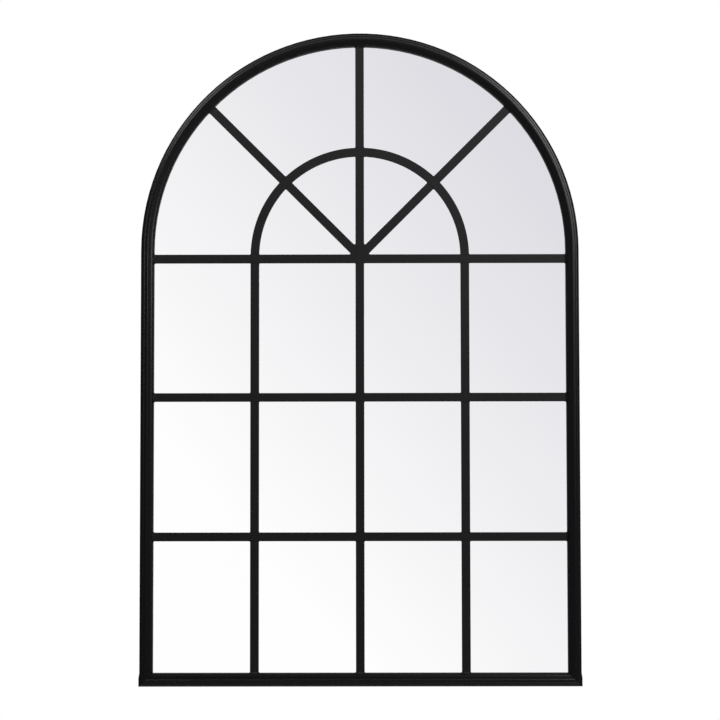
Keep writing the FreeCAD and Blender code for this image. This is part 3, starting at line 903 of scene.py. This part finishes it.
@dataclass(frozen=True)
class Lattice(Assembly):
    """The flat bars in front of the glass and the welds that join them.

    Attributes:
        welds: the sizes of the welds in the corners.
        beads: the sizes of the beads on the bars' ends.
        SEGMENTS: the rows, each under the transom of its name.
        COLUMNS: the columns of uprights.
        SPOKES: the angles of the fan's spokes, in degrees.
        SLANT: the x and the z of a direction at 45 degrees.
    """

    SEGMENTS = ("upper", "middle", "lower")
    COLUMNS = ("left", "centre", "right")
    SPOKES = (45.0, 90.0, 135.0)
    SLANT = math.sqrt(0.5)

    welds: WeldSizes = WeldSizes()
    beads: BeadSizes = BeadSizes()

    def build(self) -> None:
        """Makes the welds in the corners of the bars and the beads on their ends."""
        low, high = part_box("transom_upper")
        front = low.y + self.welds.shy
        levels = ((high.y, 0.0), (front + self.welds.bevel, 0.0), (front, self.welds.bevel))
        fan = Fan.measured()
        groups = {
            "welds_bar_crossings": (self.welds.square, self.crossings()),
            "welds_fan": (self.welds.square, self.fan_corners(fan)),
            "welds_hub": (self.welds.acute, self.hub_corners(fan)),
            "welds_frame": (self.welds.frame, self.frame_corners(fan)),
        }
        for name, (radius, notches) in groups.items():
            mesh = WeldMesh()
            for notch in notches:
                mesh.stand(notch.outline(radius, self.welds.sink, self.welds.steps), levels)
            self.carry(mesh, name)
        mesh = WeldMesh()
        for end in self.bar_ends(fan):
            mesh.loft(end.sections(self.beads, fan.half, low.y))
        self.carry(mesh, "weld_beads_bar_ends")

    def carry(self, mesh: WeldMesh, name: str) -> None:
        """Ends a mesh of welds, which rides on the mirror.

        Args:
            mesh: the welds.
            name: the piece's name.
        """
        piece = mesh.finish(name, self.finishes[Slot.BAR].material())
        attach(piece, MIRROR_BODY)
        LOG.info("%s made", name)

    def dress(self) -> None:
        """Coats every bar."""
        self.coat(Slot.BAR, "transom", "upright", "fan_arch", "radial")

    def crossings(self) -> Iterator[Notch]:
        """Finds the corners where the uprights meet the transoms.

        Returns:
            The corners, one after another.
        """
        for column in self.COLUMNS:
            for segment in self.SEGMENTS:
                low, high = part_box(f"upright_{column}_{segment}")
                for x, outward in ((low.x, LEFT), (high.x, RIGHT)):
                    yield Notch((x, high.z), (outward, DOWN))
                    if segment != "lower":
                        yield Notch((x, low.z), (outward, UP))

    def spokes(self) -> Iterator[Vector]:
        """The direction of each spoke, as x and z."""
        for angle in self.SPOKES:
            yield Vector((math.cos(math.radians(angle)), math.sin(math.radians(angle))))

    def fan_corners(self, fan: Fan) -> Iterator[Notch]:
        """Finds the corners where the fan's half ring meets its spokes and the upper transom.

        Args:
            fan: the fan.

        Returns:
            The corners, one after another.
        """
        edges = ((fan.inner, -1.0), (fan.outer, 1.0))
        for spoke in self.spokes():
            for radius, outward in edges:
                for side in SIDES:
                    reach = math.sqrt(radius * radius - fan.half * fan.half)
                    point = spoke * reach + quarter_turn(spoke) * (side * fan.half)
                    tangent = quarter_turn(point).normalized() * side
                    yield Notch((point.x, point.y + fan.hub), (tuple(tangent), tuple(spoke * outward)))
        for radius, outward in edges:
            reach = math.sqrt(radius * radius - (fan.floor - fan.hub) ** 2)
            for side in SIDES:
                yield Notch((side * reach, fan.floor), ((side * outward, 0.0), UP))

    def hub_corners(self, fan: Fan) -> Iterator[Notch]:
        """Finds the sharp corners between the spokes and the transom at the hub.

        Args:
            fan: the fan.

        Returns:
            The corners, one after another.
        """
        height = fan.hub + fan.half + fan.half / self.SLANT
        reach = fan.floor - fan.hub + fan.half / self.SLANT
        for side in SIDES:
            spoke = (side * self.SLANT, self.SLANT)
            yield Notch((side * fan.half, height), (UP, spoke))
            yield Notch((side * reach, fan.floor), ((side, 0.0), spoke))

    def frame_corners(self, fan: Fan) -> Iterator[Notch]:
        """Finds the corners where the bars' ends meet the frame.

        Args:
            fan: the fan.

        Returns:
            The corners, one after another.
        """
        for segment in self.SEGMENTS:
            low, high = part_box(f"transom_{segment}")
            for x, inward in ((low.x, RIGHT), (high.x, LEFT)):
                yield Notch((x, high.z), (inward, UP))
                yield Notch((x, low.z), (inward, DOWN))
        for column in self.COLUMNS:
            low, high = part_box(f"upright_{column}_lower")
            yield Notch((low.x, low.z), (LEFT, UP))
            yield Notch((high.x, low.z), (RIGHT, UP))
        for spoke in self.spokes():
            for side in SIDES:
                point, spring = self.arch_point(fan, spoke, side * fan.half)
                tangent = quarter_turn(point).normalized() * side
                yield Notch((point.x, point.y + spring), (tuple(tangent), tuple(-spoke)))

    def bar_ends(self, fan: Fan) -> Iterator[BarEnd]:
        """Finds the ends of the transoms, uprights and outer spokes against the frame.

        Args:
            fan: the fan.

        Returns:
            The ends, one after another.
        """
        for segment in self.SEGMENTS:
            low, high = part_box(f"transom_{segment}")
            height = 0.5 * (low.z + high.z)
            yield BarEnd((low.x, height), RIGHT)
            yield BarEnd((high.x, height), LEFT)
        for column in self.COLUMNS:
            low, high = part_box(f"upright_{column}_lower")
            yield BarEnd((0.5 * (low.x + high.x), low.z), UP)
        for spoke in self.spokes():
            point, spring = self.arch_point(fan, spoke, 0.0)
            yield BarEnd((point.x, point.y + spring), tuple(-spoke))

    @staticmethod
    def arch_point(fan: Fan, spoke: Vector, offset: float) -> tuple[Vector, float]:
        """Where a spoke's edge or middle line meets the inside of the frame's arch.

        Args:
            fan: the fan.
            spoke: the spoke's direction, as x and z.
            offset: how far the line lies to the left of the spoke's middle.

        Returns:
            The point, measured from the arch's centre, and the height of that centre.
        """
        low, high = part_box("transom_upper")
        inner = 0.5 * (high.x - low.x)
        frame_low, frame_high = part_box("frame_arch")
        spring = frame_high.z - 0.5 * (frame_high.x - frame_low.x)
        start = quarter_turn(spoke) * offset + Vector((0.0, fan.hub - spring))
        lean = start.dot(spoke)
        reach = -lean + math.sqrt(lean * lean - start.length_squared + inner * inner)
        return start + spoke * reach, spring


class OuterFrame(Assembly):
    """The moulded steel frame round the glass."""

    def dress(self) -> None:
        """Coats the arch, the bottom rail and the corner plates."""
        self.coat(Slot.FRAME, "frame", "corner_plate")


class Glazing(Assembly):
    """The mirror pane with its backing board, setting blocks, clips and their screws."""

    def dress(self) -> None:
        """Dresses the pane and what holds it."""
        self.coat(Slot.GLASS, "mirror_pane")
        self.coat(Slot.BOARD, "backing_board")
        self.coat(Slot.BLOCK, "setting_block")
        self.coat(Slot.CLIP, "clip_leg", "clip_rail", "clip_arch")
        self.coat(Slot.SCREW, "clip_screws")


class WallFittings(Assembly):
    """The strap hangers with their screws and swinging rings, and the wall bumpers."""

    def dress(self) -> None:
        """Dresses the straps, screws, rings and bumpers."""
        self.coat(Slot.STRAP, "hanger_strap")
        self.coat(Slot.SCREW, "hanger_screws")
        self.coat(Slot.RING, "hanger_ring")
        self.coat(Slot.BUMPER, "wall_bumper")


@dataclass(frozen=True)
class Lamp:
    """A soft white studio lamp.

    Attributes:
        name: the lamp's name.
        place: where it stands.
        aim: the point it faces.
        width: its width.
        height: its height.
        watts: its power.
    """

    name: str
    place: Triple
    aim: Triple
    width: float
    height: float
    watts: float

    def build(self) -> None:
        """Makes the lamp and turns it to its aim."""
        data = bpy.data.lights.new(self.name, "AREA")
        data.shape = "RECTANGLE"
        data.size = self.width
        data.size_y = self.height
        data.energy = self.watts
        lamp = bpy.data.objects.new(self.name, data)
        lamp.location = self.place
        lamp.rotation_mode = "QUATERNION"
        lamp.rotation_quaternion = (Vector(self.aim) - Vector(self.place)).to_track_quat("-Z", "Y")
        lamp.visible_camera = False
        bpy.context.scene.collection.objects.link(lamp)
        LOG.info("lamp %s", self.name)


@dataclass(frozen=True)
class Surround:
    """The white studio round the mirror: what the camera, the mirror and the coats see of it.

    Attributes:
        white: the colour of the near side of the backdrop.
        shade: the colour it falls to, up and to the right of the camera.
        fall_across: how fast it falls with the direction to the right.
        fall_up: how fast it falls with the direction upwards.
        fall_start: how far it has fallen straight ahead.
        side_rise: the directions to the left between which it falls there too.
        low_rise: the directions upwards between which it goes from the floor's white rim to the full fall.
        second_bounce: the ray depths between which a mirror's reflection is no longer the first one.
        away_rise: the directions away from the camera between which the front of the studio ends.
        sheen_level: how bright the studio in front is in a rough gloss.
        behind_level: how bright the studio behind the mirror is in a rough gloss.
        fill_level: how bright it is as soft light.
    """

    white: Colour = WHITE
    shade: Colour = (0.72, 0.713, 0.762)
    fall_across: float = 2.94
    fall_up: float = 2.55
    fall_start: float = 0.296
    side_rise: Span = (0.18, 0.80)
    low_rise: Span = (-0.40, -0.16)
    second_bounce: Span = (2.2, 2.8)
    away_rise: Span = (-0.2, 0.4)
    sheen_level: float = 0.316
    behind_level: float = 0.08
    fill_level: float = 0.03

    def build(self) -> None:
        """Makes the world: white to the camera, a soft fall of light in the mirror, dimmer elsewhere."""
        world = bpy.data.worlds.new("studio")
        world.use_nodes = True
        bpy.context.scene.world = world
        graph = Graph(world.node_tree)
        across, away, up = graph.split(graph.node("ShaderNodeTexCoord")["Generated"])
        fall = self.fall_start + self.fall_across * across + self.fall_up * up
        aside = graph.between(-across, *self.side_rise)
        share = fall.highest(aside).lowest(1.0) * graph.between(up, *self.low_rise)
        path = graph.node("ShaderNodeLightPath")
        camera = path["Is Camera Ray"]
        first = 1.0 - graph.between(path["Ray Depth"], *self.second_bounce)
        sharp = path["Is Singular Ray"].highest(path["Is Transmission Ray"]) * first * (1.0 - camera)
        rough = path["Is Glossy Ray"] * (1.0 - sharp)
        colour = graph.mix(share * sharp, self.white, self.shade)
        behind = graph.between(away, *self.away_rise)
        sheen = self.sheen_level + (self.behind_level - self.sheen_level) * behind
        dim = self.fill_level + (sheen - self.fill_level) * rough
        strength = dim + (1.0 - dim) * camera.highest(sharp)
        background = graph.node("ShaderNodeBackground", values={"Color": colour, "Strength": strength})
        graph.node("ShaderNodeOutputWorld", values={"Surface": background["Background"]})
        LOG.info("surround made")


@dataclass(frozen=True)
class Floor:
    """A round pale floor under the hanging mirror, which fades into the white round it.

    Attributes:
        height: the floor's height, as of a mirror hung at a sill's height.
        radius: its radius.
        plain: the radius within which it doesn't fade.
        sides: the number of its sides.
        colour: its colour.
        cloud: the width of one darker cloud on it.
        cloud_share: the brightness of the clouds as a share of its colour.
        roughness: its roughness.
    """

    height: float = -1.60
    radius: float = 2.6
    plain: float = 1.1
    sides: int = 96
    colour: Colour = (0.84, 0.84, 0.845)
    cloud: float = 0.4
    cloud_share: float = 0.97
    roughness: float = 0.8

    def build(self) -> None:
        """Makes the floor's mesh and hides it from diffuse rays."""
        mesh = bmesh.new()
        bmesh.ops.create_circle(mesh, cap_ends=True, radius=self.radius, segments=self.sides)
        bmesh.ops.translate(mesh, verts=mesh.verts[:], vec=(0.0, 0.0, self.height))
        data = bpy.data.meshes.new("floor")
        mesh.to_mesh(data)
        mesh.free()
        material = bpy.data.materials.new("floor_pale")
        material.use_nodes = True
        self.paint(Graph(material.node_tree))
        data.materials.append(material)
        floor = bpy.data.objects.new("floor", data)
        floor.visible_diffuse = False
        bpy.context.scene.collection.objects.link(floor)
        LOG.info("floor made")

    def paint(self, graph: Graph) -> None:
        """Writes a plain pale matt floor whose rim is as white as the studio.

        Args:
            graph: the floor material's nodes.
        """
        place = graph.place()
        in_plan = graph.scaled(place, (1.0, 1.0, 0.0))
        path = graph.node("ShaderNodeLightPath")
        seen = path["Is Camera Ray"].highest(path["Is Glossy Ray"]).highest(path["Is Transmission Ray"])
        rim = graph.between(graph.length(in_plan), self.plain, self.radius) * seen
        darker = tuple(self.cloud_share * part for part in self.colour)
        colour = graph.mix(graph.noise(place, self.cloud), self.colour, darker)
        pale = {"Base Color": colour, "Roughness": self.roughness}
        matt = graph.node("ShaderNodeBsdfPrincipled", values=pale)
        white = graph.node("ShaderNodeEmission", values={"Color": graph.solid(WHITE), "Strength": 1.0})
        mixed = graph.node("ShaderNodeMixShader", values={0: rim, 1: matt["BSDF"], 2: white["Emission"]})
        graph.node("ShaderNodeOutputMaterial", values={"Surface": mixed["Shader"]})


@dataclass(frozen=True)
class Viewpoint:
    """The camera at the photograph's viewing angle.

    Attributes:
        target: the point in the middle of the picture.
        distance: how far the camera stands from it.
        tilt: how far the camera looks up, in degrees.
        swing: how far it looks to the left, in degrees.
        roll: how far the picture leans to the left, in degrees.
        focal: the focal length in pixels of the photograph.
        picture: the photograph's width in pixels.
        sensor: the sensor's width in millimetres.
        sight: how far the camera sees.
    """

    target: Triple = (0.17 * MM, -24.0 * MM, -170.2 * MM)
    distance: float = 3.5
    tilt: float = 2.87
    swing: float = 0.23
    roll: float = 0.08
    focal: float = 1890.7
    picture: int = 720
    sensor: float = 36.0
    sight: float = 100.0

    def build(self) -> None:
        """Makes the camera."""
        tilt = math.radians(self.tilt)
        swing = math.radians(self.swing)
        level = math.cos(tilt)
        ahead = Vector((-level * math.sin(swing), level * math.cos(swing), math.sin(tilt)))
        data = bpy.data.cameras.new("viewpoint")
        data.sensor_width = self.sensor
        data.lens = self.sensor * self.focal / self.picture
        data.clip_end = self.sight
        camera = bpy.data.objects.new("viewpoint", data)
        camera.location = Vector(self.target) - ahead * self.distance
        camera.rotation_mode = "QUATERNION"
        turn = Quaternion((0.0, 0.0, 1.0), -math.radians(self.roll))
        camera.rotation_quaternion = ahead.to_track_quat("-Z", "Y") @ turn
        bpy.context.scene.collection.objects.link(camera)
        bpy.context.scene.camera = camera
        LOG.info("camera made")


@dataclass(frozen=True)
class Studio:
    """The surround, the floor and the lamps.

    Attributes:
        surround: the white studio round the mirror.
        floor: the floor under it.
        lamps: its lamps.
    """

    surround: Surround = Surround()
    floor: Floor = Floor()
    lamps: tuple[Lamp, ...] = (
        Lamp(
            name="key",
            place=(1.48, -2.06, 1.19),
            aim=(0.10, 0.0, 0.05),
            width=0.86,
            height=1.85,
            watts=83.9,
        ),
        Lamp(
            name="fill",
            place=(-0.90, -0.90, 0.97),
            aim=(-0.05, 0.0, 0.0),
            width=0.45,
            height=0.56,
            watts=9.1,
        ),
        Lamp(
            name="top",
            place=(0.0, -0.93, 1.20),
            aim=(0.0, -0.02, 0.30),
            width=1.20,
            height=0.50,
            watts=5.1,
        ),
        Lamp(
            name="rim",
            place=(1.30, -0.50, -0.31),
            aim=(0.40, -0.02, 0.0),
            width=0.50,
            height=1.40,
            watts=1.1,
        ),
        Lamp(
            name="back",
            place=(-0.90, 2.20, 1.00),
            aim=(0.0, 0.0, -0.2),
            width=2.60,
            height=2.00,
            watts=70.0,
        ),
    )

    def build(self) -> None:
        """Makes the surround, the floor and every lamp."""
        bpy.context.scene.view_settings.view_transform = "Standard"
        self.surround.build()
        self.floor.build()
        for lamp in self.lamps:
            lamp.build()


def main() -> None:
    """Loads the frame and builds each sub-assembly in order."""
    logging.basicConfig(level=logging.INFO, format="%(name)s: %(message)s")
    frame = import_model()
    Viewpoint().build()
    Studio().build()
    assemblies: tuple[Assembly, ...] = (
        OuterFrame(frame["nodes"], FINISHES),
        Lattice(frame["nodes"], FINISHES),
        Glazing(frame["nodes"], FINISHES),
        WallFittings(frame["nodes"], FINISHES),
    )
    for assembly in assemblies:
        assembly.build()
        assembly.dress()


if __name__ == "__main__":
    main()
